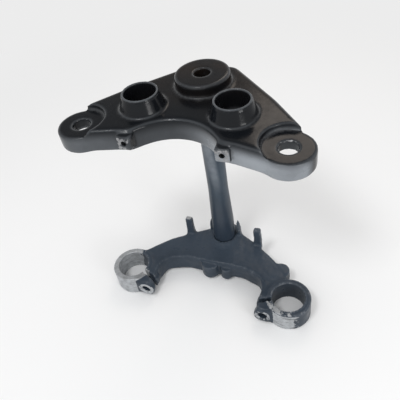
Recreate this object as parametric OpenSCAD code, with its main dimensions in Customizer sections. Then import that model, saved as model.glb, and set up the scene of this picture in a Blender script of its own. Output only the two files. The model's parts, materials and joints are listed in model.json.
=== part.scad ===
// Motorcycle triple clamp: an upper bridge and a lower bridge, held apart by a steering stem.
// Millimetres. Z runs up the stem axis and Z = 0 is the flat underside of the lower bridge.
// The fork tubes stand in front of the stem, towards -Y, one on each side.

/* [Forks and stem] */
// Diameter of the fork tubes that the clamps hold
fork_d = 31; // [28:0.5:36]
// Distance between the two fork tubes, centre to centre
fork_pitch = 164; // [154:1:180]
// Distance from the stem axis forward to the line of the fork tubes
fork_offset = 61; // [56:1:64]
// Height of the fork pads above the underside of the lower bridge
pad_z = 202; // [150:1:240]
// Diameter of the stem tube along most of its length
stem_d = 19.6; // [18:0.2:22]
// Diameter of the stem's bearing seat, which is pressed into the hub
stem_seat_d = 22.8; // [22.4:0.2:26]
// Length of the bearing seat above the hub
stem_seat_h = 26; // [20:1:40]
// Length of the cone above the bearing seat
stem_cone_h = 42; // [20:1:60]
// Diameter of the bore along the stem tube
stem_bore_d = 14; // [10:0.5:15]

/* [Upper bridge] */
// Depth of the skirt below the fork pads
skirt_h = 14; // [12:0.5:18]
// Height of the plate above the fork pads
plate_h = 5.6; // [4.6:0.2:8]
// Radius along the top edge of the plate
plate_round = 3.6; // [2:0.2:3.8]
// Thickness of the plate's roof
roof_t = 6; // [5:0.5:8]
// Thickness of the skirt wall
skirt_t = 5; // [4:0.5:6]
// Thickness of the ribs on the underside
rib_t = 4; // [3:0.5:6]
// Diameter of the fork pads
pad_d = 39; // [37:0.5:42]
// Diameter of the fork bolt holes
fork_bolt_d = 14.6; // [12:0.2:16]
// Depth of the sockets that take the tops of the fork tubes
fork_socket_h = 7; // [5:0.5:9]
// Diameter of the stem boss
boss_d = 45.2; // [40:0.2:48]
// Height of the stem boss above the plate
boss_h = 10.4; // [6:0.2:12]
// Diameter of the stem bolt hole
stem_bolt_d = 13.2; // [10:0.2:13.4]
// Depth of metal over the stem's top end
stem_cap_t = 10; // [8:0.5:14]

/* [Handlebar cups] */
// Distance between the two cups, centre to centre
cup_pitch = 74; // [70:1:80]
// Distance from the stem axis forward to the line of the cups
cup_offset = 38; // [36:0.5:40]
// Inside diameter of a cup
cup_bore_d = 25.6; // [22:0.2:26]
// Wall of a cup at its rim
cup_wall = 1.6; // [1.2:0.1:2.4]
// Height of a cup's rim above the plate
cup_h = 13.6; // [8:0.2:16]
// Depth of a cup, from the rim to the ledge
cup_depth = 26; // [20:1:28]
// How much wider a cup is at its foot, on the radius
cup_flare = 4.2; // [2:0.1:5]
// Diameter of the hole through a cup's ledge
cup_hole_d = 16; // [12:0.5:20]

/* [Lamp lugs] */
// Distance between the two lugs, centre to centre
lug_pitch = 77; // [74:0.5:79]
// Width of a lug
lug_w = 11.4; // [9:0.2:12]
// Height of a lug
lug_h = 12; // [9:0.5:13]
// How far a lug's face stands in front of the fork line
lug_reach = 14; // [12:0.5:17]
// Diameter of the tapped hole in a lug
lug_hole_d = 4.2; // [3:0.1:6]
// Depth of the tapped hole in a lug
lug_hole_h = 9; // [6:0.5:10]

/* [Lower bridge] */
// Height of the lower bridge and its clamps
bridge_h = 22; // [18:0.5:26]
// Radius along the edges of the lower bridge
bridge_round = 2.6; // [1:0.2:3]
// Wall of the fork clamps
clamp_wall = 5.5; // [4.5:0.5:7]
// Width of the slit in a clamp
slit_w = 3.2; // [2:0.2:4]
// Angle of the slit, from the line of the fork tubes towards the front
slit_angle = 20; // [16:1:24]
// Distance from a clamp's centre in to its pinch bolt
pinch_in = 21; // [20:0.5:23]
// Distance from a clamp's centre forward to the face of its pinch lug
pinch_reach = 20; // [18:0.5:22]
// Diameter of a pinch lug
pinch_lug_d = 18; // [16:0.5:20]
// Clearance hole for the pinch bolt
pinch_hole_d = 9; // [8:0.5:10]
// Tapped hole behind the slit for the pinch bolt
pinch_tap_d = 6.8; // [6:0.2:7.8]
// Depth of the tapped hole behind the slit
pinch_tap_h = 16; // [10:1:18]
// Diameter of the hub round the stem
hub_d = 38; // [36:0.5:42]

/* [Stops and bosses] */
// Distance between the two stop posts, centre to centre
post_pitch = 75; // [70:1:80]
// Width of a stop post at its foot
post_w = 9.4; // [8:0.2:12]
// Thickness of a stop post at its foot
post_t = 7.5; // [6:0.5:9]
// Height of the stop posts above the bridge
post_h = 22; // [12:1:26]
// Height of the stop fins above the bridge
fin_h = 20; // [12:1:24]
// Thickness of the stop fins
fin_t = 7; // [5:0.5:9]
// Diameter of the larger front boss
boss_large_d = 19; // [15:0.5:20]
// Diameter of the smaller front boss
boss_small_d = 14; // [10:0.5:15]

/* [Hidden] */
$fn = 96;

fit_gap = 0.1;
over = 1;
press_gap = 0.02;
edge_r = 4.5;
least_r = 0.4;
spot_gap = 0.6;
foot_r = 2.4;
socket_wall = 5;
rib_lift = 2;
rear_lip = 8.4;
arch_r = 40;
arch_inset = 10.5;
lug_step = 0.8;
collar_h = 2.2;
face_step = 0.8;
pad_ring_t = 3;
bore_cut = 0.8;
boss_cut = 1;
rim_cut = 0.5;
post_y = -3;
post_root = 8;
post_taper = 0.8;
fin_inset = 1.2;
fin_front = 1;
seat_step = 1.4;
clamp_cut = 1;
pinch_cut = 1.2;
boss_foot = 2;
boss_y = 24.5;
boss_large_x = -5;
boss_small_x = 12.5;
boss_large_drop = 3;
boss_small_drop = 5;
shoulder_d = 18;
shoulder_in = 14;
shoulder_back = 31;
hub_ring_w = 4;
edge_round_cut = 1.6;
skirt_cut = 1;
stem_cut = 1;
cup_post_t = 1.6;
lug_drop = 3.5;
lug_root = 3;
fin_gap = 1.6;
fork_x = fork_pitch / 2;
cup_x = cup_pitch / 2;
lug_x = lug_pitch / 2;
pinch_x = fork_x - pinch_in;
pinch_face_y = -fork_offset - pinch_reach;
post_x = post_pitch / 2;

skirt_z = pad_z - skirt_h;
plate_z = pad_z + plate_h;
boss_z = plate_z + boss_h;
cup_z = plate_z + cup_h;
stem_top_z = boss_z - stem_cap_t;
mid_z = bridge_h / 2;
slit_y = -fork_offset - pinch_in * tan(slit_angle);
clamp_r = fork_d / 2 + clamp_wall;
lug_mid_z = pad_z - lug_drop;
seat_z = bridge_h + collar_h;
stem_press_d = stem_seat_d - seat_step;

// Plane vectors: the direction of v, the signed area of u and v, and u turned a quarter to the left
function unit(v) = v / norm(v);
function cross2(u, v) = u[0] * v[1] - u[1] * v[0];
function left_of(u) = [-u[1], u[0]];

// Where the line through p along u meets the line through q along v
function meet(p, u, q, v) = p + u * cross2(q - p, v) / cross2(u, v);

// One rounded corner of an outline that runs clockwise, moved in by the inset. A corner is [x, y, radius, steps].
function corner(a, b, c, inset) =
    let (
        u = unit([b[0] - a[0], b[1] - a[1]]),
        v = unit([c[0] - b[0], c[1] - b[1]]),
        turn = cross2(u, v),
        side = turn < 0 ? 1 : -1,
        tip = meet([a[0], a[1]] - left_of(u) * inset, u, [b[0], b[1]] - left_of(v) * inset, v),
        r = max(least_r, b[2] - side * inset),
        angle = acos(max(-1, min(1, u * v))),
        start = tip - u * r * tan(angle / 2),
        centre = start - left_of(u) * r * side
    )
    [for (i = [0 : b[3]])
        let (t = -side * angle * i / b[3], w = (start - centre))
        centre + [w[0] * cos(t) - w[1] * sin(t), w[0] * sin(t) + w[1] * cos(t)]];

// A closed outline with every corner rounded, moved in by the inset
function outline(corners, inset = 0) =
    let (n = len(corners))
    [for (i = [0 : n - 1]) each corner(corners[(i + n - 1) % n], corners[i], corners[(i + 1) % n], inset)];

// The corners of the right half, the middle ones, and the mirror image of the right half
function both_sides(half, middle) =
    let (n = len(half))
    concat(half, middle, [for (i = [n - 1 : -1 : 0]) [-half[i][0], half[i][1], half[i][2], half[i][3]]]);

// A slab with a rounded upper edge and a chamfered lower one
module soft_slab(corners, z0, z1, top_round, foot_cut, steps = 3) {
    levels = concat(
        [[z0 - over, foot_cut], [z0, foot_cut], [z0 + foot_cut, 0]],
        [for (i = [0 : steps]) [z1 - top_round * (1 - sin(90 * i / steps)), top_round * (1 - cos(90 * i / steps))]],
        [[z1 + over, top_round]]
    );
    rings = [for (level = levels) [for (p = outline(corners, level[1])) [p[0], p[1], level[0]]]];
    n = len(rings[0]);
    last = len(levels) - 1;
    intersection() {
        polyhedron(
            points = [for (ring = rings) each ring],
            faces = concat(
                [[for (i = [n - 1 : -1 : 0]) i]],
                [[for (i = [0 : n - 1]) last * n + i]],
                [for (k = [0 : last - 1]) for (i = [0 : n - 1])
                    [k * n + i, k * n + (i + 1) % n, (k + 1) * n + (i + 1) % n, (k + 1) * n + i]]
            ),
            convexity = 8
        );
        translate([-fork_pitch, -fork_pitch, z0]) cube([2 * fork_pitch, 2 * fork_pitch, z1 - z0]);
    }
}

// Something on the right and its mirror image on the left
module both() {
    children();
    mirror([1, 0, 0]) children();
}

// The concave curve at the foot of a wall of radius r, as points from the plate up to the wall
function foot_curve(r, z, round, n = 4) =
    [for (i = [0 : n]) [r + round * (1 - sin(90 * i / n)), z + round * (1 - cos(90 * i / n))]];

// The corner where the tangents of the front arch cross, for an arch whose crown and ends are given
function arch_corner(end, crown, r) =
    let (
        low = crown - r,
        reach = norm([end[0], end[1] - low]),
        lean = atan2(end[0], end[1] - low) - acos(r / reach)
    )
    [0, low + r / cos(lean), r, 18];

// The upper bridge seen from above, its right half from the stem round to the arch
upper_half = [
    [boss_d / 2 - 4, boss_d / 2 + rear_lip, 12, 4],
    [fork_x - 19.5, 48.5 - fork_offset, 120, 4],
    [fork_x + 9, 15 - fork_offset, edge_r, 3],
    [fork_x + 4.5, -fork_offset, edge_r, 3],
    [fork_x - 3, 1.3 - fork_offset - pad_d / 2, edge_r, 3],
    [lug_x + 8.5, -fork_offset - 10.4, edge_r, 3],
    [lug_x - 2.7, -fork_offset - 8.6, edge_r, 3]
];
upper_corners = both_sides(upper_half, [arch_corner(upper_half[6], arch_inset - fork_offset, arch_r)]);

// The lower bridge seen from above, its right half from the hub round to the front
lower_half = [
    [hub_d / 2, 7, 6, 4],
    [post_x + 3.5, -6.5, 30, 6],
    [fork_x - 22, 41 - fork_offset, 60, 6],
    [fork_x + 2, 15.5 - fork_offset, edge_r, 3],
    [fork_x + 4, -fork_offset, edge_r, 3],
    [fork_x - 2, -17 - fork_offset, edge_r, 3],
    [pinch_x + pinch_lug_d / 2, pinch_face_y + lug_step, edge_r, 3],
    [pinch_x - pinch_lug_d / 2 + 2, pinch_face_y + lug_step, edge_r, 3],
    [fork_x - 27.5, 4 - fork_offset, 10, 5],
    [fork_x - 31.5, 16.5 - fork_offset, 12, 6],
    [fork_x - 52, 23 - fork_offset, 24, 6]
];
lower_corners = both_sides(lower_half, []);

// A straight rib on the underside, from one point to another
module rib(from, to) {
    run = to - from;
    translate([from[0], from[1], skirt_z + rib_lift])
        rotate([0, 0, atan2(run[1], run[0])])
            translate([0, -rib_t / 2, 0])
                cube([norm(run), rib_t, plate_z - roof_t / 2 - skirt_z - rib_lift]);
}

// The boss round the stem's top end, filleted into the plate
module stem_boss() {
    r = boss_d / 2;
    rotate_extrude()
        polygon(concat(
            [[0, skirt_z], [stem_d / 2 + socket_wall, skirt_z], [stem_d / 2 + socket_wall, plate_z - over]],
            [[r + foot_r, plate_z - over]],
            foot_curve(r, plate_z, foot_r),
            [[r, boss_z - boss_cut], [r - boss_cut, boss_z], [0, boss_z]]
        ));
}

// A flared cup on the plate, with its post on the underside
module cup_wall() {
    rim = cup_bore_d / 2 + cup_wall;
    foot = rim + cup_flare * (1 - foot_r / cup_h);
    rotate_extrude()
        polygon(concat(
            [[0, skirt_z], [rim + cup_post_t, skirt_z], [rim + cup_post_t, plate_z - over], [foot + foot_r, plate_z - over]],
            foot_curve(foot, plate_z, foot_r),
            [[rim, cup_z - rim_cut], [rim - rim_cut, cup_z], [0, cup_z]]
        ));
}

// The inside of a cup: a deep bore, a ledge and a hole through it
module cup_bore() {
    translate([0, 0, cup_z - cup_depth]) cylinder(d = cup_bore_d, h = cup_depth + over);
    translate([0, 0, skirt_z - over]) cylinder(d = cup_hole_d, h = cup_z - skirt_z);
    translate([0, 0, cup_z - rim_cut]) cylinder(d1 = cup_bore_d, d2 = cup_bore_d + 2 * rim_cut, h = rim_cut + fit_gap);
}

// The round end that carries a fork pad
module fork_end() {
    translate([0, 0, skirt_z - face_step]) cylinder(d = pad_d, h = skirt_h + 2 * face_step);
}

// What is cut at a fork end: the spot face, the bolt hole and the socket for the tube
module fork_end_cut() {
    translate([0, 0, pad_z]) cylinder(d = pad_d + spot_gap, h = plate_h + over);
    translate([0, 0, skirt_z - over]) cylinder(d = fork_bolt_d, h = skirt_h + 2 * over);
    translate([0, 0, pad_z - bore_cut]) cylinder(d1 = fork_bolt_d, d2 = fork_bolt_d + 2 * bore_cut, h = bore_cut + fit_gap);
    translate([0, 0, skirt_z - face_step - over]) cylinder(d = fork_d, h = fork_socket_h + over);
}

// A small block under the front edge, tapped from the front
module lamp_lug() {
    translate([-lug_w / 2, -fork_offset - lug_reach, lug_mid_z - lug_h / 2])
        cube([lug_w, lug_hole_h + lug_root, lug_h]);
}

module upper_bridge() color([0.16, 0.15, 0.15]) difference() {
    union() {
        difference() {
            soft_slab(upper_corners, skirt_z, plate_z, plate_round, skirt_cut);
            difference() {
                translate([0, 0, skirt_z - over])
                    linear_extrude(plate_z - roof_t - skirt_z + over)
                        polygon(outline(upper_corners, skirt_t));
                both() translate([fork_x, -fork_offset, skirt_z - 2 * over])
                    cylinder(d = pad_d + 2 * pad_ring_t, h = plate_z - skirt_z);
            }
        }
        stem_boss();
        both() {
            translate([cup_x, -cup_offset]) cup_wall();
            translate([fork_x, -fork_offset]) fork_end();
            translate([lug_x, 0]) lamp_lug();
            rib([0, 0], [cup_x, -cup_offset]);
            rib([cup_x, -cup_offset], [fork_x, -fork_offset]);
            rib([0, -cup_offset], [cup_x, -cup_offset]);
        }
        rib([0, 0], [0, arch_inset - fork_offset + skirt_t / 2]);
    }
    both() {
        translate([cup_x, -cup_offset]) cup_bore();
        translate([fork_x, -fork_offset]) fork_end_cut();
        translate([lug_x, -fork_offset - lug_reach - over, lug_mid_z])
            rotate([-90, 0, 0]) cylinder(d = lug_hole_d, h = lug_hole_h + over);
    }
    translate([0, 0, skirt_z - over]) cylinder(d = stem_bolt_d, h = boss_z - skirt_z + 2 * over);
    translate([0, 0, skirt_z - over]) cylinder(d = stem_d + 2 * fit_gap, h = stem_top_z - skirt_z + over);
    translate([0, 0, boss_z - boss_cut]) cylinder(d1 = stem_bolt_d, d2 = stem_bolt_d + 2 * boss_cut, h = boss_cut + fit_gap);
}

// A stop post: it starts on the bridge's rear wall and is slightly slimmer at its tip
module stop_post() {
    hull() {
        translate([-post_w / 2, -post_t / 2, bridge_h - post_root]) cube([post_w, post_t, 1]);
        translate([-post_w / 2 + post_taper, -post_t / 2 + post_taper, bridge_h + post_h - 1])
            cube([post_w - 2 * post_taper, post_t - 2 * post_taper, 1]);
    }
}

// A stop fin beside the stem: a quarter of an ellipse, standing on the hub
module stop_fin() {
    inner = stem_seat_d / 2 + fin_gap;
    outer = hub_d / 2 - fin_inset;
    translate([0, fin_t + fin_front, bridge_h - over])
        rotate([90, 0, 0])
            linear_extrude(fin_t)
                polygon(concat(
                    [[inner, 0]],
                    [for (i = [0 : 8]) [inner + (outer - inner) * sin(90 * i / 8), over + fin_h * cos(90 * i / 8)]],
                    [[outer, 0]]
                ));
}

// A round block with both of its edges chamfered
module turned_block(r, h, cut) {
    rotate_extrude()
        polygon([[0, 0], [r - cut, 0], [r, cut], [r, h - cut], [r - cut, h], [0, h]]);
}

// The split clamp round a fork tube, with the barrel that takes its pinch bolt
module fork_clamp() {
    translate([fork_x, -fork_offset])
        turned_block(clamp_r, bridge_h + face_step, clamp_cut);
    translate([pinch_x, pinch_face_y, mid_z])
        rotate([-90, 0, 0]) cylinder(d = pinch_lug_d, h = pinch_reach);
}

// What is cut at a clamp: the bore, the slit and the pinch bolt's holes
module fork_clamp_cut() {
    translate([fork_x, -fork_offset, -over]) cylinder(d = fork_d, h = bridge_h + face_step + 2 * over);
    translate([fork_x, -fork_offset, -over])
        rotate([0, 0, 180 + slit_angle])
            translate([0, -slit_w / 2, 0]) cube([2 * clamp_r, slit_w, bridge_h + face_step + 2 * over]);
    translate([pinch_x, pinch_face_y - over, mid_z]) rotate([-90, 0, 0]) {
        cylinder(d = pinch_hole_d, h = slit_y - pinch_face_y + over);
        cylinder(d = pinch_tap_d, h = slit_y - pinch_face_y + pinch_tap_h + over);
        translate([0, 0, over - fit_gap]) cylinder(d1 = pinch_hole_d + 2 * pinch_cut, d2 = pinch_hole_d, h = pinch_cut);
    }
}

// An upright round boss, from just above the underside up to the height h
module upright_boss(x, y, d, h) {
    translate([x, y - fork_offset, boss_foot]) cylinder(d = d, h = h - boss_foot);
}

module lower_bridge() color([0.22, 0.25, 0.29]) difference() {
    union() {
        soft_slab(lower_corners, face_step, bridge_h, bridge_round, edge_round_cut);
        turned_block(hub_d / 2, bridge_h + face_step, clamp_cut);
        cylinder(d = hub_d - 2 * hub_ring_w, h = seat_z);
        both() {
            fork_clamp();
            translate([post_x, post_y, 0]) stop_post();
            stop_fin();
        }
        upright_boss(boss_large_x, boss_y, boss_large_d, bridge_h - boss_large_drop);
        upright_boss(boss_small_x, boss_y, boss_small_d, bridge_h - boss_small_drop);
        upright_boss(fork_x - shoulder_in, shoulder_back, shoulder_d, bridge_h - over);
    }
    both() fork_clamp_cut();
    translate([0, 0, -over]) cylinder(d = stem_press_d + 2 * press_gap, h = seat_z + 2 * over);
}

module steering_stem() color([0.30, 0.33, 0.36]) difference() {
    rotate_extrude()
        polygon([
            [0, 0],
            [stem_press_d / 2 - stem_cut, 0],
            [stem_press_d / 2, stem_cut],
            [stem_press_d / 2, seat_z],
            [stem_seat_d / 2, seat_z],
            [stem_seat_d / 2, seat_z + stem_seat_h],
            [stem_d / 2, seat_z + stem_seat_h + stem_cone_h],
            [stem_d / 2, stem_top_z - stem_cut],
            [stem_d / 2 - stem_cut, stem_top_z],
            [0, stem_top_z]
        ]);
    translate([0, 0, -over]) cylinder(d = stem_bore_d, h = stem_top_z + 2 * over);
}

upper_bridge();
lower_bridge();
steering_stem();
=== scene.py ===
"""A motorcycle triple clamp: painted upper bridge, painted lower bridge and the steel stem between them."""

import json
import math

import bmesh
import bpy
import numpy as np
from bpy.props import FloatProperty, FloatVectorProperty, IntProperty, PointerProperty
from mathutils import Matrix, Vector
from mathutils.noise import noise as noise_value


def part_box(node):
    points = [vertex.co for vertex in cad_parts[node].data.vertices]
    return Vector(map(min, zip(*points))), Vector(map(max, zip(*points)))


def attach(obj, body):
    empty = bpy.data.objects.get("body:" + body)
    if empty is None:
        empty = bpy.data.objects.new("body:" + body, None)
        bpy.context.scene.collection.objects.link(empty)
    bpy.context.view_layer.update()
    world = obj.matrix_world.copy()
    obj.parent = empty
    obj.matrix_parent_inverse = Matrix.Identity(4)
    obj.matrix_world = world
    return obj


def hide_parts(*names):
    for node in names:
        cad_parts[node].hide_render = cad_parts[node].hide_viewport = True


bl_info = {
    "name": "Triple Clamp Finish",
    "version": (1, 0, 0),
    "blender": (4, 5, 0),
    "location": "View3D > Sidebar > Triple Clamp",
    "description": "Dresses the upper bridge, the lower bridge and the steering stem of a motorcycle",
    "category": "Object",
}

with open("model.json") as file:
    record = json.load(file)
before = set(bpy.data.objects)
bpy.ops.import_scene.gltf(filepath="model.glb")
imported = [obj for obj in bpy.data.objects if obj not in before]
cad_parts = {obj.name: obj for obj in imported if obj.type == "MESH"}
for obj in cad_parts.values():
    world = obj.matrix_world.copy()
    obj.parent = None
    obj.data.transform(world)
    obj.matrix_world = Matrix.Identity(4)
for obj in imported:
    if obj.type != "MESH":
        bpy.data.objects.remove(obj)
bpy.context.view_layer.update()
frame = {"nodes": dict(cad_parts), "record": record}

MM = 0.001
UP, FRONT, RIGHT = (0, 0, 1), (0, -1, 0), (1, 0, 0)
SIDES = ("left", "right")
MOUNTS = {mount["name"]: mount for mount in frame["record"]["mounts"]}
UPPER_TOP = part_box("upper_bridge")[1].z
LOWER_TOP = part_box("lower_bridge")[1].z


def place(name):
    """The middle of a mount of the packed record, in metres."""
    return Vector(MOUNTS[name]["pos_m"])


def radius(name):
    """The radius of a mount, in metres."""
    return MOUNTS[name]["dims"]["r_mm"] * MM


def depth(name):
    """The length of a mount along its axis, in metres."""
    return MOUNTS[name]["dims"]["length_mm"] * MM


# Sizes of the solids, partly from the record

CLAMP_WALL = 5.5 * MM
CLAMP_TOP = depth("fork_clamp_left")
CLAMP_RADIUS = radius("fork_clamp_left") + CLAMP_WALL
CUP_EDGE = 0.5 * MM
CUP_WALL = 1.6 * MM
CUP_TOP = place("handlebar_cup_left").z + depth("handlebar_cup_left") / 2 + CUP_EDGE
BOSS_RADIUS = 22.6 * MM
RIM_DEPTH = 2 * MM
PAD_EDGE = 0.8 * MM
PAD_TOP = place("fork_bolt_hole_left").z + depth("fork_bolt_hole_left") / 2 + PAD_EDGE


# Settings


def colour(name, description, default):
    return FloatVectorProperty(
        name=name,
        description=description,
        subtype="COLOR",
        size=3,
        min=0.0,
        max=1.0,
        default=default,
    )


def length(name, description, default, low=0.0, high=1.0):
    return FloatProperty(
        name=name,
        description=description,
        subtype="DISTANCE",
        unit="LENGTH",
        min=low,
        max=high,
        default=default,
    )


def share(name, description, default):
    return FloatProperty(
        name=name, description=description, subtype="FACTOR", min=0.0, max=1.0, default=default
    )


def strength(name, description, default):
    return FloatProperty(name=name, description=description, min=0.0, default=default)


def power(name, description, default):
    return FloatProperty(name=name, description=description, unit="POWER", min=0.0, default=default)


def angle(name, description, default):
    return FloatProperty(name=name, description=description, subtype="ANGLE", default=default)


class CastSkinSettings(bpy.types.PropertyGroup):
    """How finely the two castings are meshed and how soft their edges are"""

    grain: length("Grain", "Size of the castings' even mesh", 0.85 * MM, 0.4 * MM, 3 * MM)
    soft_passes: IntProperty(
        name="Soft passes", description="How often the cast edges are smoothed", min=0, max=40, default=9
    )
    crisp_share: share("Crisp share", "How much of that smoothing reaches the machined edges", 0.12)
    forge_depth: length("Forge skin", "Depth of the forging's uneven skin", 0.8 * MM, 0.0, 2 * MM)
    thread_pitch: length("Thread pitch", "Pitch of the tapped holes", 1.0 * MM, 0.3 * MM, 2 * MM)
    thread_ridge: length("Thread ridge", "Size of a thread ridge", 0.34 * MM, 0.1 * MM, 1 * MM)


class UpperPaintSettings(bpy.types.PropertyGroup):
    """The black paint of the upper bridge"""

    paint: colour("Paint", "Black paint of the upper bridge", (0.0060, 0.0072, 0.0092))
    warm: colour("Warm tone", "Tone of the paint round the stem boss", (0.0155, 0.0108, 0.0080))
    warm_from: length("Warm from", "How far behind the stem the warm tone starts", -48 * MM, -1.0)
    warm_to: length("Warm to", "How far behind the stem the warm tone is full", 12 * MM, -1.0)
    dust: colour("Dust", "Dust that lies in the corners", (0.058, 0.060, 0.064))
    # The tone of the painted reflection on the skirt and of the painted highlights on the rims and edges
    sheen_tone: colour("Haze", "Pale film on the lower half of the skirt", (0.31, 0.335, 0.365))
    rubbed: colour("Rubbed metal", "Metal that shows through the paint", (0.36, 0.36, 0.37))
    chips: share("Chips", "How much of the edges is rubbed to metal", 0.05)
    # Strength of the painted highlights on the edges, the cup rims and the front edges
    edge_sheen: share("Polished edges", "How pale the edges are rubbed", 0.17)
    shine: share("Shine", "Strength of the paint's reflections", 0.20)
    roughness: share("Roughness", "Roughness of the paint", 0.17)
    peel: share("Orange peel", "Strength of the paint's waviness", 0.12)
    peel_size: length("Peel size", "Size of the paint's waves", 3.2 * MM, 1 * MM, 20 * MM)


class LowerPaintSettings(bpy.types.PropertyGroup):
    """The blue-black paint of the lower bridge"""

    paint: colour("Paint", "Blue-black paint of the lower bridge", (0.043, 0.058, 0.079))
    warm: colour("Dark tone", "Darker tone of the paint near the clamps", (0.021, 0.030, 0.043))
    warm_from: length("Dark from", "How far behind the stem the dark tone starts", -10 * MM, -1.0)
    warm_to: length("Dark to", "How far behind the stem the dark tone is full", -60 * MM, -1.0)
    dust: colour("Dust", "Dust and grime that lies in the corners", (0.050, 0.062, 0.078))
    # The tone of the painted highlights on the rounded edges
    sheen_tone: colour("Haze", "Pale tone of the rubbed edges", (0.30, 0.32, 0.35))
    rubbed: colour("Rubbed metal", "Bare metal of the clamps", (0.52, 0.54, 0.56))
    chips: share("Chips", "How much of the edges is rubbed to metal", 0.28)
    # Strength of the painted highlights on the rounded edges
    edge_sheen: share("Polished edges", "How pale the edges are rubbed", 0.10)
    shine: share("Shine", "Strength of the paint's reflections", 0.22)
    roughness: share("Roughness", "Roughness of the paint", 0.34)
    peel: share("Cast skin", "Strength of the rough skin below the paint", 0.55)
    peel_size: length("Skin size", "Size of the rough skin's bumps", 4.5 * MM, 1 * MM, 20 * MM)


class StemSteelSettings(bpy.types.PropertyGroup):
    """The turned steel of the steering stem"""

    steel: colour("Steel", "Darkened steel of the stem", (0.045, 0.066, 0.092))
    foot: colour("Painted foot", "Paint that covers the stem above the hub", (0.024, 0.036, 0.054))
    foot_height: length("Foot height", "Height above the floor up to which the stem is painted", 78 * MM)
    # The colour of the painted highlight, a lamp's reflection, along the stem's front
    painted_highlight: colour("Streak", "Lighter steel along the stem's front", (0.21, 0.235, 0.265))
    roughness: share("Roughness", "Roughness of the turned steel", 0.38)
    turning_pitch: length("Turning pitch", "Distance between the turning marks", 0.35 * MM, 0.05 * MM)


class StageSettings(bpy.types.PropertyGroup):
    """The floor, the lamps and the camera"""

    floor: colour("Floor", "Colour of the plain floor", (0.87, 0.875, 0.88))
    floor_fade: length("Floor fade", "Where the floor starts to fade to the backdrop", 0.24, 0.1)
    backdrop: strength("Backdrop", "Strength of the pale backdrop", 0.84)
    fill: strength("Fill", "Strength of the light from all round", 0.77)
    ceiling: strength("Ceiling", "Strength of what gloss mirrors from above", 0.30)
    key: power("Key", "Power of the lamp above the camera", 3.4)
    rear: power("Rear", "Power of the lamp behind", 0.85)
    rear_tone: colour("Rear tone", "Colour of the lamp behind", (1.0, 0.88, 0.77))
    low: power("Low", "Power of the low lamp at the right", 1.6)
    tilt: angle("Tilt", "Camera's angle above the horizon", 0.7678)
    turn: angle("Turn", "Camera's turn round the stem", -0.4693)
    roll: angle("Roll", "Camera's roll", 0.1818)
    distance: length("Distance", "Camera's distance from the stem", 444.62 * MM, 0.1, 5.0)
    aim_x: length("Aim across", "How far the aim stands beside the stem", 15.078 * MM, -1.0)
    aim_y: length("Aim up", "How far the aim stands above the stem's middle", 26.871 * MM, -1.0)
    lens: FloatProperty(name="Lens", description="Focal length in millimetres", min=5.0, default=42.3)


# Meshes

MERGE_REACH = 0.002 * MM


def add_object(name, mesh):
    """A new object at the origin that holds the mesh."""
    piece = bpy.data.objects.new(name, mesh)
    bpy.context.scene.collection.objects.link(piece)
    return piece


def merged_copy(node, name):
    """A new object with the node's mesh, its loose triangles merged."""
    shape = bmesh.new()
    shape.from_mesh(frame["nodes"][node].data)
    bmesh.ops.remove_doubles(shape, verts=shape.verts, dist=MERGE_REACH)
    mesh = bpy.data.meshes.new(name)
    shape.to_mesh(mesh)
    shape.free()
    return add_object(name, mesh)


def take_modifiers(piece):
    """Turns the piece's modifiers into its plain mesh and removes them."""
    graph = bpy.context.evaluated_depsgraph_get()
    mesh = bpy.data.meshes.new_from_object(piece.evaluated_get(graph))
    old = piece.data
    piece.modifiers.clear()
    piece.data = mesh
    bpy.data.meshes.remove(old)
    mesh.name = piece.name


def even_mesh(piece, grain):
    """Gives the piece one closed mesh of even squares."""
    step = piece.modifiers.new("Even mesh", "REMESH")
    step.mode = "VOXEL"
    step.voxel_size = grain
    step.adaptivity = 0.0
    take_modifiers(piece)


def read_points(mesh):
    points = np.empty(len(mesh.vertices) * 3)
    mesh.vertices.foreach_get("co", points)
    return points.reshape(-1, 3)


def read_edges(mesh):
    edges = np.empty(len(mesh.edges) * 2, np.int64)
    mesh.edges.foreach_get("vertices", edges)
    return edges.reshape(-1, 2)


def read_normals(mesh):
    normals = np.empty(len(mesh.vertices) * 3)
    mesh.vertices.foreach_get("normal", normals)
    return normals.reshape(-1, 3)


def write_points(mesh, points):
    mesh.vertices.foreach_set("co", points.ravel())
    mesh.update()


def write_values(mesh, name, values):
    """Stores one number for each point under a name that a material can read."""
    layer = mesh.attributes.new(name, "FLOAT", "POINT")
    layer.data.foreach_set("value", values.astype(np.float32))


def neighbour_mean(values, edges):
    """For each point, the mean of its neighbours' values."""
    count = np.bincount(edges.ravel(), minlength=len(values)).astype(float)
    mean = np.empty_like(values)
    for axis in range(values.shape[1]):
        column = values[:, axis]
        mean[:, axis] = np.bincount(edges[:, 0], column[edges[:, 1]], len(values))
        mean[:, axis] += np.bincount(edges[:, 1], column[edges[:, 0]], len(values))
    return mean / np.maximum(count, 1.0)[:, None]


TINY = 1e-9


def step_up(value, low, high):
    """0 below low, 1 above high and a smooth rise between them."""
    t = np.clip((value - low) / (high - low), 0.0, 1.0)
    return t * t * (3.0 - 2.0 * t)


def round_distance(points, centre, axis):
    """Each point's distance from a line through the centre, its place along it and its offset across."""
    offset = points - np.array(centre)
    along = offset @ np.array(axis, float)
    away = offset - along[:, None] * np.array(axis, float)
    return np.linalg.norm(away, axis=1), along, away


CRISP_CORE = 0.3


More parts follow.
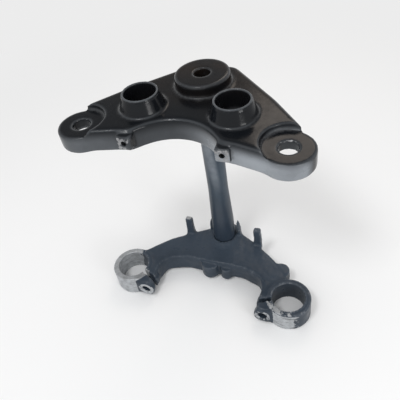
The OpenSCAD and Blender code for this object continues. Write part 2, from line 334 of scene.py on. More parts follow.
class TurnedFace:
    """A machined round surface: points near it stay crisp and lie on its radius."""

    def __init__(self, centre, axis, size, low, high):
        self.centre, self.axis, self.size, self.low, self.high = centre, axis, size, low, high

    def closeness(self, points, reach):
        """1 near the surface, falling to 0 at the reach."""
        away, along, _ = round_distance(points, self.centre, self.axis)
        beside = np.maximum(np.maximum(self.low - along, along - self.high), 0.0)
        return 1.0 - step_up(np.hypot(away - self.size, beside), CRISP_CORE * reach, reach)

    def settle(self, points, reach):
        """Moves the points that lie close to the surface onto its radius."""
        away, along, across = round_distance(points, self.centre, self.axis)
        close = (abs(away - self.size) < reach) & (along > self.low) & (along < self.high)
        grow = np.where(close, self.size / np.maximum(away, TINY), 1.0) - 1.0
        return points + across * grow[:, None]


def mount_face(name):
    """The turned face of one of the record's bores."""
    mount = MOUNTS[name]
    axis = Vector(mount["axis"])
    return TurnedFace(place(name), axis, radius(name), -depth(name) / 2, depth(name) / 2)


# In grains of the even mesh: how far a machined face keeps its edges and draws points onto itself,
# and how far a point stands out of its surroundings on a rubbed edge or in a dusty corner
CRISP_REACH, SETTLE_REACH = 3.0, 0.4
EDGE_BEND, CORNER_BEND = (0.10, 0.42), (0.07, 0.36)
SMOOTH_STEP = 0.55
BEND_SPREAD, BEND_PASSES = 6, 2
LUMP_SIZE, DENT_SIZE, DENT_SHARE = 11 * MM, 4.5 * MM, 0.5


def soften(mesh, faces, skin):
    """Smooths the cast edges, and leaves the machined ones crisp and their bores round."""
    points, edges = read_points(mesh), read_edges(mesh)
    crisp = np.zeros(len(points))
    for face in faces:
        crisp = np.maximum(crisp, face.closeness(points, CRISP_REACH * skin.grain))
    weight = (1.0 - crisp * (1.0 - skin.crisp_share))[:, None]
    for _ in range(skin.soft_passes):
        points += SMOOTH_STEP * weight * (neighbour_mean(points, edges) - points)
    for face in faces:
        points = face.settle(points, SETTLE_REACH * skin.grain)
    write_points(mesh, points)
    return crisp


def unevenness(point):
    """Broad lumps with smaller dents on them, about -1 to 1."""
    lump = noise_value(Vector(point) / LUMP_SIZE)
    return lump + DENT_SHARE * noise_value(Vector(point) / DENT_SIZE)


def forge_skin(mesh, crisp, deepest):
    """Sinks the faces that aren't machined by an uneven skin, never outwards."""
    points, normals = read_points(mesh), read_normals(mesh)
    uneven = np.array([unevenness(point) for point in points])
    sunk = np.clip((1.0 + uneven) / 2, 0.0, 1.0) * deepest * (1.0 - crisp)
    write_points(mesh, points - normals * sunk[:, None])


def bend_of(mesh):
    """How far each point stands out of its surroundings: above 0 on edges, below 0 in corners."""
    points, edges, normals = read_points(mesh), read_edges(mesh), read_normals(mesh)
    wide = points
    for _ in range(BEND_SPREAD):
        wide = neighbour_mean(wide, edges)
    bend = ((points - wide) * normals).sum(axis=1)[:, None]
    for _ in range(BEND_PASSES):
        bend = neighbour_mean(bend, edges)
    return bend[:, 0]


def mark_skin(mesh, grain, bare, pale, edge_sheen):
    """Stores rubbed edges, dusty corners, bare metal and where painted highlights and reflections lie."""
    bend = bend_of(mesh) / grain
    edge = step_up(bend, *EDGE_BEND)
    write_values(mesh, "rubbed_edge", edge)
    write_values(mesh, "dusty_corner", step_up(-bend, *CORNER_BEND))
    write_values(mesh, "bare_metal", np.clip(bare, 0.0, 1.0))
    # Every rounded edge also gets a painted highlight
    write_values(mesh, "painted_sheen", np.clip(np.maximum(pale, edge_sheen * edge), 0.0, 1.0))


# Geometry Nodes

RIDGE_SIDES, RIDGE_STEPS = 4, 20
PLAIN_TURNS = 0.6


def thread_tree():
    """A tree that lays a helical ridge in a hole at each point of the mesh it is given."""
    tree = bpy.data.node_groups.new("Thread ridge", "GeometryNodeTree")
    face = tree.interface
    face.new_socket("Geometry", in_out="INPUT", socket_type="NodeSocketGeometry")
    inputs = {}
    for name, kind in (
        ("Hole radius", "NodeSocketFloat"),
        ("Pitch", "NodeSocketFloat"),
        ("Turns", "NodeSocketFloat"),
        ("Ridge", "NodeSocketFloat"),
        ("Finish", "NodeSocketMaterial"),
    ):
        inputs[name] = face.new_socket(name, in_out="INPUT", socket_type=kind).identifier
    face.new_socket("Geometry", in_out="OUTPUT", socket_type="NodeSocketGeometry")
    nodes, links = tree.nodes, tree.links
    given = nodes.new("NodeGroupInput")
    result = nodes.new("NodeGroupOutput")
    helix = nodes.new("GeometryNodeCurveSpiral")
    helix.inputs["Resolution"].default_value = RIDGE_STEPS
    rise = nodes.new("ShaderNodeMath")
    rise.operation = "MULTIPLY"
    profile = nodes.new("GeometryNodeCurvePrimitiveCircle")
    profile.inputs["Resolution"].default_value = RIDGE_SIDES
    sweep = nodes.new("GeometryNodeCurveToMesh")
    sweep.inputs["Fill Caps"].default_value = True
    lay = nodes.new("GeometryNodeTransform")
    lay.inputs["Rotation"].default_value = (-math.pi / 2, 0.0, 0.0)
    spread = nodes.new("GeometryNodeInstanceOnPoints")
    real = nodes.new("GeometryNodeRealizeInstances")
    finish = nodes.new("GeometryNodeSetMaterial")
    links.new(given.outputs["Pitch"], rise.inputs[0])
    links.new(given.outputs["Turns"], rise.inputs[1])
    links.new(given.outputs["Hole radius"], helix.inputs["Start Radius"])
    links.new(given.outputs["Hole radius"], helix.inputs["End Radius"])
    links.new(given.outputs["Turns"], helix.inputs["Rotations"])
    links.new(rise.outputs[0], helix.inputs["Height"])
    links.new(given.outputs["Ridge"], profile.inputs["Radius"])
    links.new(helix.outputs["Curve"], sweep.inputs["Curve"])
    links.new(profile.outputs["Curve"], sweep.inputs["Profile Curve"])
    links.new(sweep.outputs["Mesh"], lay.inputs["Geometry"])
    links.new(given.outputs["Geometry"], spread.inputs["Points"])
    links.new(lay.outputs["Geometry"], spread.inputs["Instance"])
    links.new(spread.outputs["Instances"], real.inputs["Geometry"])
    links.new(real.outputs["Geometry"], finish.inputs["Geometry"])
    links.new(given.outputs["Finish"], finish.inputs["Material"])
    links.new(finish.outputs["Geometry"], result.inputs["Geometry"])
    return tree, inputs


def thread_ridges(name, holes, skin, material):
    """The ridges of the threads in the named tapped holes, which open towards the front."""
    shape = bpy.data.meshes.new(name)
    mouths = [place(hole) + Vector(FRONT) * depth(hole) / 2 for hole in holes]
    shape.from_pydata(mouths, [], [])
    piece = add_object(name, shape)
    tree, inputs = thread_tree()
    step = piece.modifiers.new("Thread ridge", "NODES")
    step.node_group = tree
    step[inputs["Hole radius"]] = radius(holes[0])
    step[inputs["Pitch"]] = skin.thread_pitch
    step[inputs["Turns"]] = depth(holes[0]) / skin.thread_pitch - PLAIN_TURNS
    step[inputs["Ridge"]] = skin.thread_ridge
    step[inputs["Finish"]] = material
    take_modifiers(piece)
    return piece


def join_into(piece, part):
    """Adds the part's mesh to the piece and removes the part."""
    both = [piece, part]
    with bpy.context.temp_override(active_object=piece, object=piece, selected_editable_objects=both):
        bpy.ops.object.join()


# Materials

# Where cloudy noise from 0 to 1 is cut: a wide cut leaves soft clouds and a narrow one sharp patches
WIDE, SOFT, CLOSE = (0.25, 0.75), (0.30, 0.70), (0.35, 0.65)
STAINED, SCRATCHED, CHIPPED, BARED = (0.35, 0.70), (0.55, 0.64), (0.50, 0.66), (0.42, 0.62)
CLOUD_SIZE, SPECK_SIZE, BLOT_SIZE, STAIN_SIZE, GRAIN_SIZE = 30 * MM, 2.6 * MM, 9 * MM, 5 * MM, 0.9 * MM
WHITE = (1.0, 1.0, 1.0, 1.0)


def new_material(name, tone):
    """A material with nodes, whose plain viewport colour is the tone."""
    material = bpy.data.materials.new(name)
    material.use_nodes = True
    material.diffuse_color = (*tone, 1.0)
    shader = material.node_tree.nodes["Principled BSDF"]
    return material, material.node_tree, shader


def node(tree, kind, **settings):
    made = tree.nodes.new(kind)
    for key, value in settings.items():
        setattr(made, key, value)
    return made


def feed(tree, made, **sources):
    """Links sockets to the node's inputs, or sets the inputs to plain values."""
    for key, source in sources.items():
        socket = made.inputs[int(key[1:])] if key[0] == "_" else made.inputs[key.replace("_", " ")]
        if isinstance(source, bpy.types.NodeSocket):
            tree.links.new(source, socket)
        else:
            socket.default_value = source
    return made


def object_place(tree):
    """The object's own coordinates."""
    return node(tree, "ShaderNodeTexCoord").outputs["Object"]


def noise(tree, size, detail=3.0, rough=0.55, stretch=None):
    """Cloudy noise with patches of the given size in metres, from 0 to 1."""
    where = object_place(tree)
    if stretch:
        where = feed(tree, node(tree, "ShaderNodeMapping"), Vector=where, Scale=stretch).outputs["Vector"]
    cloud = node(tree, "ShaderNodeTexNoise", noise_dimensions="3D")
    feed(tree, cloud, Vector=where, Scale=1.0 / size, Detail=detail, Roughness=rough)
    return cloud.outputs["Fac"]


def ramp(tree, source, low, high, start=0.0, end=1.0):
    """The source stretched from low..high to start..end, kept between them."""
    made = node(tree, "ShaderNodeMapRange", interpolation_type="SMOOTHSTEP")
    feed(tree, made, _0=source, _1=low, _2=high, _3=start, _4=end)
    return made.outputs[0]


def math_node(tree, operation, a, b):
    made = node(tree, "ShaderNodeMath", operation=operation, use_clamp=False)
    return feed(tree, made, _0=a, _1=b).outputs[0]


def mix(tree, factor, a, b):
    """A mix of two colours."""
    made = node(tree, "ShaderNodeMix", data_type="RGBA")
    if not isinstance(a, bpy.types.NodeSocket):
        a = (*a, 1.0)
    if not isinstance(b, bpy.types.NodeSocket):
        b = (*b, 1.0)
    feed(tree, made, _0=factor, _6=a, _7=b)
    return made.outputs[2]


def stored(tree, name):
    """One of the numbers that the mesh holds for each point."""
    return node(tree, "ShaderNodeAttribute", attribute_name=name).outputs["Fac"]


def height_bump(tree, height, distance, strength, before=None):
    made = node(tree, "ShaderNodeBump")
    feed(tree, made, Height=height, Distance=distance, Strength=strength)
    if before:
        feed(tree, made, Normal=before)
    return made.outputs["Normal"]


def along(tree, direction):
    """How far a point lies along a direction from the stem's foot, in metres."""
    made = node(tree, "ShaderNodeVectorMath", operation="DOT_PRODUCT")
    return feed(tree, made, _0=object_place(tree), _1=direction).outputs["Value"]


LEVEL_SCRATCH = (0.25, 0.25, 2.6)
STAIN_TONE, SCRATCH_TONE = 0.66, 0.18
SCRATCH_LEFT, SCRATCH_RIGHT, SCRATCH_TURN = 0.30, 0.85, 40 * MM


def darker(tone, much):
    return tuple(much * part for part in tone)


def scuffed_metal(tree, tone):
    """Bare metal with cloudy stains and dark scratches that run level, most of them at the right."""
    stains = ramp(tree, noise(tree, STAIN_SIZE, detail=5.0, rough=0.7), *STAINED)
    metal = mix(tree, stains, tuple(tone), darker(tone, STAIN_TONE))
    drawn_out = noise(tree, STAIN_SIZE, detail=4.0, rough=0.6, stretch=LEVEL_SCRATCH)
    scratches = ramp(tree, drawn_out, *SCRATCHED)
    rightwards = ramp(tree, along(tree, RIGHT), -SCRATCH_TURN, SCRATCH_TURN, SCRATCH_LEFT, SCRATCH_RIGHT)
    scratches = math_node(tree, "MULTIPLY", scratches, rightwards)
    return mix(tree, scratches, metal, darker(tone, SCRATCH_TONE))


SPECK_RAGGED, BLOT_RAGGED = 0.18, 0.20
BARE_METALLIC = 0.7
# The middle pair sets how patchy the painted highlights and reflections are
WARM_PATCHES, SHEEN_PATCHES, DIRT_PATCHES = (0.25, 1.0), (0.65, 1.0), (0.15, 0.8)
SMOOTHER, ROUGHER = 0.75, 1.35
DULL_DIRT, DULL_METAL, DULL_SHEEN = 0.25, 0.14, 0.15
WAVE_HEIGHT, GRAIN_HEIGHT, GRAIN_SHARE = 0.30 * MM, 0.10 * MM, 0.8


def bare_metal(tree, look, specks):
    """1 where the paint is gone, with ragged edges, and 0 where it holds."""
    chips = ramp(tree, specks, *CHIPPED, 0.0, look.chips)
    rubbed = math_node(tree, "MULTIPLY", stored(tree, "rubbed_edge"), chips)
    bare = stored(tree, "bare_metal")
    blots = noise(tree, BLOT_SIZE, detail=3.0, rough=0.6)
    for patches, much in ((specks, SPECK_RAGGED), (blots, BLOT_RAGGED)):
        bare = math_node(tree, "ADD", bare, ramp(tree, patches, *SOFT, -much, much))
    return math_node(tree, "MAXIMUM", rubbed, ramp(tree, bare, *BARED))


def paint_material(name, look):
    """Paint over a casting: two tones, painted highlights and reflections, dust in the corners, rubbed
    edges and bare metal.
    """
    material, tree, shader = new_material(name, look.paint)
    clouds = noise(tree, CLOUD_SIZE, detail=4.0)
    specks = noise(tree, SPECK_SIZE, detail=5.0, rough=0.65)
    rear = ramp(tree, along(tree, (0, 1, 0)), look.warm_from, look.warm_to)
    warmth = math_node(tree, "MULTIPLY", rear, ramp(tree, clouds, *SOFT, *WARM_PATCHES))
    # Painted highlights and reflections, broken into clouds
    sheen_clouds = ramp(tree, clouds, *WIDE, *SHEEN_PATCHES)
    sheen = math_node(tree, "MULTIPLY", stored(tree, "painted_sheen"), sheen_clouds)
    sparse = ramp(tree, specks, *CLOSE, *DIRT_PATCHES)
    dirt = math_node(tree, "MULTIPLY", stored(tree, "dusty_corner"), sparse)
    metal = bare_metal(tree, look, specks)
    tone = mix(tree, warmth, tuple(look.paint), tuple(look.warm))
    tone = mix(tree, sheen, tone, tuple(look.sheen_tone))
    tone = mix(tree, dirt, tone, tuple(look.dust))
    tone = mix(tree, metal, tone, scuffed_metal(tree, look.rubbed))
    feed(tree, shader, Base_Color=tone, Metallic=math_node(tree, "MULTIPLY", metal, BARE_METALLIC))
    patches = noise(tree, BLOT_SIZE, detail=5.0, rough=0.6)
    rough = ramp(tree, patches, *WIDE, look.roughness * SMOOTHER, look.roughness * ROUGHER)
    for dull, much in ((dirt, DULL_DIRT), (metal, DULL_METAL), (sheen, DULL_SHEEN)):
        rough = math_node(tree, "ADD", rough, math_node(tree, "MULTIPLY", dull, much))
    feed(tree, shader, Roughness=rough)
    shader.inputs["Specular IOR Level"].default_value = look.shine
    swell = noise(tree, look.peel_size, detail=2.0, rough=0.4)
    waves = height_bump(tree, swell, WAVE_HEIGHT, look.peel)
    grain = noise(tree, GRAIN_SIZE, detail=3.0, rough=0.6)
    feed(tree, shader, Normal=height_bump(tree, grain, GRAIN_HEIGHT, look.peel * GRAIN_SHARE, waves))
    return material


# The painted highlight lies on the side towards STREAK_SIDE, its middle STREAK_SHIFT along STREAK_ACROSS
STREAK_ACROSS, STREAK_SIDE = (0.892, 0.452, 0.08), (0.452, -0.892, 0.0)
STREAK_SHIFT, STREAK_EDGE, STREAK_CORE, STREAK_TURN = 6.5 * MM, 6.0 * MM, 1.0 * MM, 3.0 * MM
STREAK_START, STREAK_FULL = 10 * MM, 50 * MM
STREAK_CUT, STREAK_PATCHES = (0.30, 0.60), (0.55, 1.0)
FOOT_RAGGED, FOOT_FADE, FOOT_FULL = 14 * MM, 16 * MM, 12 * MM
STEM_CLOUD_SIZE, STEM_GRAIN_SIZE, STEM_CLOUD_TONE = 16 * MM, 1.2 * MM, 0.72
GROOVE_HEIGHT, STEM_GRAIN_HEIGHT = 0.02 * MM, 0.05 * MM
GROOVE_STRENGTH, STEM_GRAIN_STRENGTH = 0.25, 0.3
LEVEL_GRAIN = (1.0, 1.0, 9.0)
STEM_METALLIC, STEM_SMOOTHER, STEM_ROUGHER = 0.25, 0.8, 1.25


def stem_highlight(tree, look, height, clouds):
    """1 on the painted highlight along the stem's front, and 0 off it."""
    across = math_node(tree, "SUBTRACT", along(tree, STREAK_ACROSS), STREAK_SHIFT)
    across = math_node(tree, "ABSOLUTE", across, 0.0)
    painted_highlight = ramp(tree, across, STREAK_EDGE, STREAK_CORE)
    for limit in (
        ramp(tree, along(tree, STREAK_SIDE), 0.0, STREAK_TURN),
        ramp(tree, height, look.foot_height + STREAK_START, look.foot_height + STREAK_FULL),
        ramp(tree, clouds, *STREAK_CUT, *STREAK_PATCHES),
    ):
        painted_highlight = math_node(tree, "MULTIPLY", painted_highlight, limit)
    return painted_highlight


def stem_material(look):
    """Turned steel with fine rings and a painted highlight along its front, and with paint on its foot."""
    material, tree, shader = new_material("darkened_stem_steel", look.steel)
    height = along(tree, UP)
    clouds = noise(tree, STEM_CLOUD_SIZE, detail=5.0, rough=0.6)
    stained = ramp(tree, clouds, *STAINED)
    tone = mix(tree, stained, tuple(look.steel), darker(look.steel, STEM_CLOUD_TONE))
    tone = mix(tree, stem_highlight(tree, look, height, clouds), tone, tuple(look.painted_highlight))
    ragged = math_node(tree, "ADD", height, ramp(tree, clouds, *SOFT, -FOOT_RAGGED, FOOT_RAGGED))
    painted = ramp(tree, ragged, look.foot_height + FOOT_FADE, look.foot_height - FOOT_FULL)
    feed(tree, shader, Base_Color=mix(tree, painted, tone, tuple(look.foot)))
    feed(tree, shader, Metallic=ramp(tree, painted, 0.0, 1.0, STEM_METALLIC, 0.0))
    rings = math_node(tree, "MULTIPLY", height, 2.0 * math.pi / look.turning_pitch)
    rings = math_node(tree, "SINE", rings, 0.0)
    groove = height_bump(tree, rings, GROOVE_HEIGHT, GROOVE_STRENGTH)
    grain = noise(tree, STEM_GRAIN_SIZE, detail=4.0, rough=0.6, stretch=LEVEL_GRAIN)
    rough = ramp(tree, grain, *WIDE, look.roughness * STEM_SMOOTHER, look.roughness * STEM_ROUGHER)
    bumps = height_bump(tree, grain, STEM_GRAIN_HEIGHT, STEM_GRAIN_STRENGTH, groove)
    feed(tree, shader, Roughness=rough, Normal=bumps)
    return material


FLOOR_CLOUD_SIZE, FLOOR_CLOUD_TONE = 0.6, 0.99
FADE_REACH = 3.0


def floor_material(stage):
    """A matt pale floor that keeps the object's shadow and fades to the backdrop further away."""
    material, tree, shader = new_material("pale_floor", stage.floor)
    shade = ramp(tree, noise(tree, FLOOR_CLOUD_SIZE, detail=2.0), *SOFT)
    tone = mix(tree, shade, tuple(stage.floor), darker(stage.floor, FLOOR_CLOUD_TONE))
    feed(tree, shader, Base_Color=tone)
    shader.inputs["Roughness"].default_value = 1.0
    shader.inputs["Specular IOR Level"].default_value = 0.0
    away = node(tree, "ShaderNodeVectorMath", operation="LENGTH")
    feed(tree, away, _0=object_place(tree))
    far = ramp(tree, away.outputs["Value"], stage.floor_fade, FADE_REACH * stage.floor_fade)
    path = node(tree, "ShaderNodeLightPath")
    seen = math_node(tree, "MAXIMUM", path.outputs["Is Camera Ray"], path.outputs["Is Glossy Ray"])
    glow = feed(tree, node(tree, "ShaderNodeEmission"), Color=WHITE, Strength=stage.backdrop)
    blend = node(tree, "ShaderNodeMixShader")
    far = math_node(tree, "MULTIPLY", far, seen)
    feed(tree, blend, _0=far, _1=shader.outputs[0], _2=glow.outputs[0])
    tree.links.new(blend.outputs[0], tree.nodes["Material Output"].inputs["Surface"])
    return material


# Operators


def even_casting(node_name, name, faces, skin):
    """An evenly meshed copy of a casting with soft edges, and how crisp each of its points stays."""
    piece = merged_copy(node_name, name)
    even_mesh(piece, skin.grain)
    return piece, soften(piece.data, faces, skin)


def finish_casting(piece, node_name, material):
    """Gives a casting its material, smooth shading and its place in the frame."""
    piece.data.materials.clear()
    piece.data.materials.append(material)
    piece.data.shade_smooth()
    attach(piece, "root")
    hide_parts(node_name)


def near(value, inner, outer):
    """1 up to the inner value, falling to 0 at the outer one."""
    return 1.0 - step_up(value, inner, outer)


# Wear and painted light of the upper bridge: shares of bare metal or of the painted highlights and
# reflections, and where each starts and ends

PAD_WEAR, PAD_WEAR_FADE, PAD_WEAR_DEPTH = 0.34, (0.3 * MM, 1.0 * MM), 1.5 * MM
LUG_WEAR, LUG_WEAR_SPAN, LUG_WEAR_DEPTH = 0.52, (4.6 * MM, 6.4 * MM), (0.2 * MM, 1.2 * MM)
# Painted highlights on the cup rims and on the rounded edges that face up and to the front
RIM_HIGHLIGHT, RIM_SPAN, RIM_FADE = 1.6, (0.9 * MM, 1.9 * MM), (0.4 * MM, 1.2 * MM)
EDGE_HIGHLIGHT, EDGE_FROM, EDGE_TO, EDGE_FRONT = 0.8, (0.45, 0.65), (0.82, 0.96), (0.15, 0.45)
# The painted reflection of the pale floor on the skirt's front
SKIRT_SHEEN, SHEEN_RIGHT, SHEEN_LEFT = 0.16, 0.80, 0.16
SHEEN_DEPTH, SHEEN_FRONT = (14 * MM, 25 * MM), (0.25, 0.75)
SHEEN_RIGHT_SPAN, SHEEN_LEFT_SPAN = (-8 * MM, 50 * MM), (32 * MM, 50 * MM)
HOLE_NO_SHEEN, HOLE_SPAN = 0.8, (0.5 * MM, 3.0 * MM)


def upper_faces():
    """The turned faces of the upper bridge."""
    faces = [mount_face("stem_bolt_hole")]
    for side in SIDES:
        for kind in ("fork_bolt_hole", "fork_socket", "lamp_lug", "handlebar_cup"):
            faces.append(mount_face(f"{kind}_{side}"))
        rim = place(f"handlebar_cup_{side}")
        rim.z = CUP_TOP
        faces.append(TurnedFace(rim, UP, radius(f"handlebar_cup_{side}") + CUP_WALL, -RIM_DEPTH, 0.0))
    faces.append(TurnedFace(Vector((0, 0, UPPER_TOP)), UP, BOSS_RADIUS, -RIM_DEPTH, 0.0))
    return faces


def pad_wear(points, side):
    """Bare metal round the edge of a fork pad's hole, and the hole's wall, which the painted reflection
    leaves out.
    """
    away, _, _ = round_distance(points, place(f"fork_bolt_hole_{side}"), UP)
    beside = away - radius(f"fork_bolt_hole_{side}")
    edge = near(abs(beside - PAD_EDGE / 2), *PAD_WEAR_FADE)
    return PAD_WEAR * edge * (points[:, 2] > PAD_TOP - PAD_WEAR_DEPTH), near(beside, *HOLE_SPAN)


def lug_wear(points, side):
    """Bare metal on the front face of a lamp lug."""
    lug = place(f"lamp_lug_{side}")
    beside = np.maximum(abs(points[:, 0] - lug.x), abs(points[:, 2] - lug.z))
    behind = points[:, 1] - lug.y + depth(f"lamp_lug_{side}") / 2
    return LUG_WEAR * near(behind, *LUG_WEAR_DEPTH) * near(beside, *LUG_WEAR_SPAN)


def rim_highlight(points, side):
    """The painted highlight on the rim of a handlebar cup."""
    away, _, _ = round_distance(points, place(f"handlebar_cup_{side}"), UP)
    rim = near(abs(away - radius(f"handlebar_cup_{side}") - CUP_WALL / 2), *RIM_SPAN)
    return rim * near(CUP_TOP - points[:, 2], *RIM_FADE)


def skirt_reflection(points, normals):
    """The painted reflection of the pale floor on the lower half of the skirt's front, strongest at the
    right.
    """
    low = step_up(UPPER_TOP - points[:, 2], *SHEEN_DEPTH)
    front = step_up(-normals[:, 1], *SHEEN_FRONT)
    rightwards = SHEEN_RIGHT * step_up(points[:, 0], *SHEEN_RIGHT_SPAN)
    leftwards = SHEEN_LEFT * step_up(-points[:, 0], *SHEEN_LEFT_SPAN)
    return low * front * (SKIRT_SHEEN + rightwards + leftwards)


def front_edges(normals):
    """The rounded edges that face up and to the front, which get a painted highlight."""
    up, front = normals[:, 2], -normals[:, 1]
    return step_up(up, *EDGE_FROM) * near(up, *EDGE_TO) * step_up(front, *EDGE_FRONT)


class TRIPLECLAMP_OT_upper_bridge(bpy.types.Operator):
    """Makes the upper bridge: a soft-edged casting in worn black paint"""

    bl_idname = "triple_clamp.upper_bridge"
    bl_label = "Upper Bridge"

    def execute(self, context):
        skin, look = context.scene.cast_skin, context.scene.upper_paint
        piece, _ = even_casting("upper_bridge", "upper_bridge_casting", upper_faces(), skin)
        points, normals = read_points(piece.data), read_normals(piece.data)
        bare, rims, sheen_free = (np.zeros(len(points)) for _ in range(3))
        for side in SIDES:
            edge, hole = pad_wear(points, side)
            bare = np.maximum(bare, np.maximum(edge, lug_wear(points, side)))
            sheen_free = np.maximum(sheen_free, hole)
            rims = np.maximum(rims, rim_highlight(points, side))
        # Painted reflection on the skirt, left off the walls of the fork holes
        pale = skirt_reflection(points, normals) * (1 - HOLE_NO_SHEEN * sheen_free)
        # Painted highlights on the cup rims and on the edges that face up and to the front
        highlit = np.maximum(RIM_HIGHLIGHT * rims, EDGE_HIGHLIGHT * front_edges(normals))
        pale = np.maximum(pale, look.edge_sheen * highlit)
        mark_skin(piece.data, skin.grain, bare, pale, look.edge_sheen)
        material = paint_material("worn_black_paint", look)
        finish_casting(piece, "upper_bridge", material)
        holes = [f"lamp_lug_{side}" for side in SIDES]
        join_into(piece, thread_ridges("lamp_lug_threads", holes, skin, material))
        return {"FINISHED"}


# Wear of the lower bridge: the left clamp is bare round its free side, the right one only in front

CLAMP_FREE, CLAMP_SPAN = (0.45, 1.0), (0.2 * MM, 1.0 * MM)
FRONT_TURN, FRONT_RIGHT = (0.05, 0.5), (0.15, 0.90)
OUTER_SPAN, BELOW_SPAN = (0.4 * MM, 1.2 * MM), (0.8 * MM, 2.5 * MM)
TOP_WEAR, TOP_SPAN = 0.52, (0.6 * MM, 1.6 * MM)
BOLT_WEAR, BOLT_SPAN, BOLT_DEPTH = {"left": 0.75, "right": 0.52}, (7.5 * MM, 9.0 * MM), (0.5 * MM, 1.5 * MM)
POST_WEAR, POST_SPAN = {"left": 0.75, "right": 0.35}, (0.4 * MM, 1.6 * MM)


def lower_faces():
    """The turned faces of the lower bridge."""
    faces = []
    half = CLAMP_TOP / 2
    for side in SIDES:
        for kind in ("pinch_bolt_hole", "pinch_bolt_thread"):
            faces.append(mount_face(f"{kind}_{side}"))
        clamp = place(f"fork_clamp_{side}")
        for size in (radius(f"fork_clamp_{side}"), CLAMP_RADIUS):
            faces.append(TurnedFace(clamp, UP, size, -half, half))
    return faces


def clamp_wear(points, side):
    """Bare metal of a fork clamp, away from the arm that holds it."""
    clamp = place(f"fork_clamp_{side}")
    away, _, across = round_distance(points, clamp, UP)
    heading = across / np.maximum(away, TINY)[:, None]
    to_hub = np.array((-clamp.x, -clamp.y, 0.0)) / math.hypot(clamp.x, clamp.y)
    ring = near(away - CLAMP_RADIUS, *CLAMP_SPAN) * near(heading @ to_hub, *CLAMP_FREE)
    if side == "left":
        return ring
    front = step_up(-heading[:, 1], *FRONT_TURN) * near(heading[:, 0], *FRONT_RIGHT)
    down = CLAMP_TOP - points[:, 2]
    wall = near(CLAMP_RADIUS - away, *OUTER_SPAN) * step_up(down, *BELOW_SPAN)
    return ring * front * np.maximum(wall, TOP_WEAR * near(down, *TOP_SPAN))


def bolt_wear(points, side):
    """Bare metal on the face round a pinch bolt's hole."""
    bolt = place(f"pinch_bolt_hole_{side}")
    around, _, _ = round_distance(points, bolt, FRONT)
    behind = points[:, 1] - bolt.y + depth(f"pinch_bolt_hole_{side}") / 2
    return BOLT_WEAR[side] * near(behind, *BOLT_DEPTH) * near(around, *BOLT_SPAN)


def post_wear(points):
    """Bare metal on the tips of the two stop posts."""
    tip = near(LOWER_TOP - points[:, 2], *POST_SPAN)
    return tip * np.where(points[:, 0] < 0, POST_WEAR["left"], POST_WEAR["right"])


class TRIPLECLAMP_OT_lower_bridge(bpy.types.Operator):
    """Makes the lower bridge: a rough forging in blue-black paint with bare clamps"""

    bl_idname = "triple_clamp.lower_bridge"
    bl_label = "Lower Bridge"

    def execute(self, context):
        skin, look = context.scene.cast_skin, context.scene.lower_paint
        piece, crisp = even_casting("lower_bridge", "lower_bridge_forging", lower_faces(), skin)
        forge_skin(piece.data, crisp, skin.forge_depth)
        points = read_points(piece.data)
        bare = post_wear(points)
        for side in SIDES:
            bare = np.maximum(bare, np.maximum(clamp_wear(points, side), bolt_wear(points, side)))
        # The rounded edges get a painted highlight
        mark_skin(piece.data, skin.grain, bare, np.zeros(len(points)), look.edge_sheen)
        material = paint_material("worn_blue_black_paint", look)
        finish_casting(piece, "lower_bridge", material)
        holes = [f"pinch_bolt_thread_{side}" for side in SIDES]
        join_into(piece, thread_ridges("pinch_bolt_threads", holes, skin, material))
        return {"FINISHED"}


class TRIPLECLAMP_OT_steering_stem(bpy.types.Operator):
    """Gives the steering stem its turned steel"""

    bl_idname = "triple_clamp.steering_stem"
    bl_label = "Steering Stem"

    def execute(self, context):
        stem = frame["nodes"]["steering_stem"]
        stem.data.materials.clear()
        stem.data.materials.append(stem_material(context.scene.stem_steel))
        return {"FINISHED"}


# Stage

FLOOR_REACH = 3.0
SENSOR_WIDTH = 36.0
STEM_MIDDLE = Vector((0, 0, CLAMP_TOP + 90 * MM))
LAMP_AIM = (0.0, -0.03, 0.12)
KEY_SPOT, KEY_SIZE = (-0.15, -0.55, 1.05), (0.24, 0.24)
LOW_SPOT, LOW_SIZE = (0.72, -0.50, 0.34), (0.30, 0.20)
REAR_SIZE, REAR_DISTANCE, REAR_SHIFT = (0.34, 0.30), 0.95, 18 * MM
HORIZON = (0.05, 0.55)


def lay_floor(stage):
    """The plain floor under the object."""
    sheet = bpy.data.meshes.new("pale_floor")
    corners = [(x * FLOOR_REACH, y * FLOOR_REACH, 0) for x, y in ((-1, -1), (1, -1), (1, 1), (-1, 1))]
    sheet.from_pydata(corners, [], [(0, 1, 2, 3)])
    sheet.materials.append(floor_material(stage))
    add_object("pale_floor", sheet)


def camera_axes(stage):
    """The camera's right, up and back directions in the frame."""
    rise, sink = math.sin(stage.tilt), math.cos(stage.tilt)
    turn = Matrix.Rotation(stage.turn, 3, "Z")
    roll = Matrix.Rotation(stage.roll, 3, "Z")
    level = Matrix(((1, 0, 0), (0, rise, sink), (0, -sink, rise)))
    return roll @ level @ turn


def place_camera(stage):
    """Makes the camera and gives its place."""
    axes = camera_axes(stage).transposed()
    spot = STEM_MIDDLE + axes @ Vector((-stage.aim_x, -stage.aim_y, stage.distance))
    lens = bpy.data.cameras.new("clamp_camera")
    lens.sensor_width = SENSOR_WIDTH
    lens.lens = stage.lens
    camera = bpy.data.objects.new("clamp_camera", lens)
    bpy.context.scene.collection.objects.link(camera)
    camera.matrix_world = Matrix.Translation(spot) @ axes.to_4x4()
    bpy.context.scene.camera = camera
    return spot


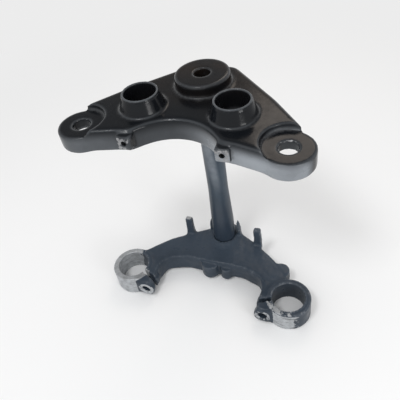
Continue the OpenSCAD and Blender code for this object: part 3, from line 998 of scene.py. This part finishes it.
def add_lamp(name, watts, size, spot, aim, tone=(1.0, 1.0, 1.0)):
    """A soft lamp at the spot that looks at the aim."""
    lamp = bpy.data.lights.new(name, "AREA")
    lamp.shape = "RECTANGLE"
    lamp.size, lamp.size_y = size
    lamp.energy = watts
    lamp.color = tone
    holder = bpy.data.objects.new(name, lamp)
    bpy.context.scene.collection.objects.link(holder)
    holder.location = spot
    holder.rotation_mode = "QUATERNION"
    holder.rotation_quaternion = (Vector(aim) - Vector(spot)).to_track_quat("-Z", "Y")


def light_object(stage, camera_spot):
    """Adds the three lamps; the right arm mirrors the rear one to the camera."""
    arm = place("fork_bolt_hole_right") + Vector(RIGHT) * REAR_SHIFT
    seen_from = (camera_spot - arm).normalized()
    mirrored = Vector((-seen_from.x, -seen_from.y, seen_from.z))
    rear_spot = arm + REAR_DISTANCE * mirrored
    add_lamp("key_lamp", stage.key, KEY_SIZE, KEY_SPOT, LAMP_AIM)
    add_lamp("rear_lamp", stage.rear, REAR_SIZE, rear_spot, arm, stage.rear_tone)
    add_lamp("low_lamp", stage.low, LOW_SIZE, LOW_SPOT, LAMP_AIM)


def surround(stage):
    """Makes the pale backdrop, the light from all round and what gloss mirrors."""
    world = bpy.data.worlds.new("soft_studio")
    bpy.context.scene.world = world
    world.use_nodes = True
    tree = world.node_tree
    path = node(tree, "ShaderNodeLightPath")
    facing = node(tree, "ShaderNodeTexCoord").outputs["Generated"]
    split = feed(tree, node(tree, "ShaderNodeSeparateXYZ"), _0=facing)
    room = ramp(tree, split.outputs["Z"], *HORIZON, 1.0, stage.ceiling)
    seen = path.outputs["Is Transmission Ray"]
    for kind, much in (("Camera", stage.backdrop), ("Glossy", room), ("Diffuse", stage.fill)):
        light = math_node(tree, "MULTIPLY", path.outputs[f"Is {kind} Ray"], much)
        seen = math_node(tree, "MAXIMUM", seen, light)
    feed(tree, tree.nodes["Background"], Color=WHITE, Strength=seen)


class TRIPLECLAMP_OT_stage(bpy.types.Operator):
    """Makes the pale floor, the soft lamps and the camera"""

    bl_idname = "triple_clamp.stage"
    bl_label = "Stage"

    def execute(self, context):
        stage = context.scene.clamp_stage
        lay_floor(stage)
        light_object(stage, place_camera(stage))
        surround(stage)
        context.scene.view_settings.view_transform = "Standard"
        return {"FINISHED"}


# Panel and registration

SETTINGS = (
    ("cast_skin", CastSkinSettings),
    ("upper_paint", UpperPaintSettings),
    ("lower_paint", LowerPaintSettings),
    ("stem_steel", StemSteelSettings),
    ("clamp_stage", StageSettings),
)
OPERATORS = (
    TRIPLECLAMP_OT_upper_bridge,
    TRIPLECLAMP_OT_lower_bridge,
    TRIPLECLAMP_OT_steering_stem,
    TRIPLECLAMP_OT_stage,
)


class TRIPLECLAMP_PT_panel(bpy.types.Panel):
    """Lists the pieces of the triple clamp and their settings"""

    bl_label = "Triple Clamp"
    bl_space_type = "VIEW_3D"
    bl_region_type = "UI"
    bl_category = "Triple Clamp"

    def draw(self, context):
        for operator in OPERATORS:
            self.layout.operator(operator.bl_idname)
        for attribute, group in SETTINGS:
            box = self.layout.box()
            box.label(text=group.__doc__)
            for key in group.__annotations__:
                box.prop(getattr(context.scene, attribute), key)


CLASSES = (*(group for _, group in SETTINGS), *OPERATORS, TRIPLECLAMP_PT_panel)


def register():
    for item in CLASSES:
        bpy.utils.register_class(item)
    for attribute, group in SETTINGS:
        setattr(bpy.types.Scene, attribute, PointerProperty(type=group))


def unregister():
    for attribute, _ in SETTINGS:
        delattr(bpy.types.Scene, attribute)
    for item in reversed(CLASSES):
        bpy.utils.unregister_class(item)


def main():
    register()
    bpy.ops.triple_clamp.upper_bridge()
    bpy.ops.triple_clamp.lower_bridge()
    bpy.ops.triple_clamp.steering_stem()
    bpy.ops.triple_clamp.stage()


if __name__ == "__main__":
    main()
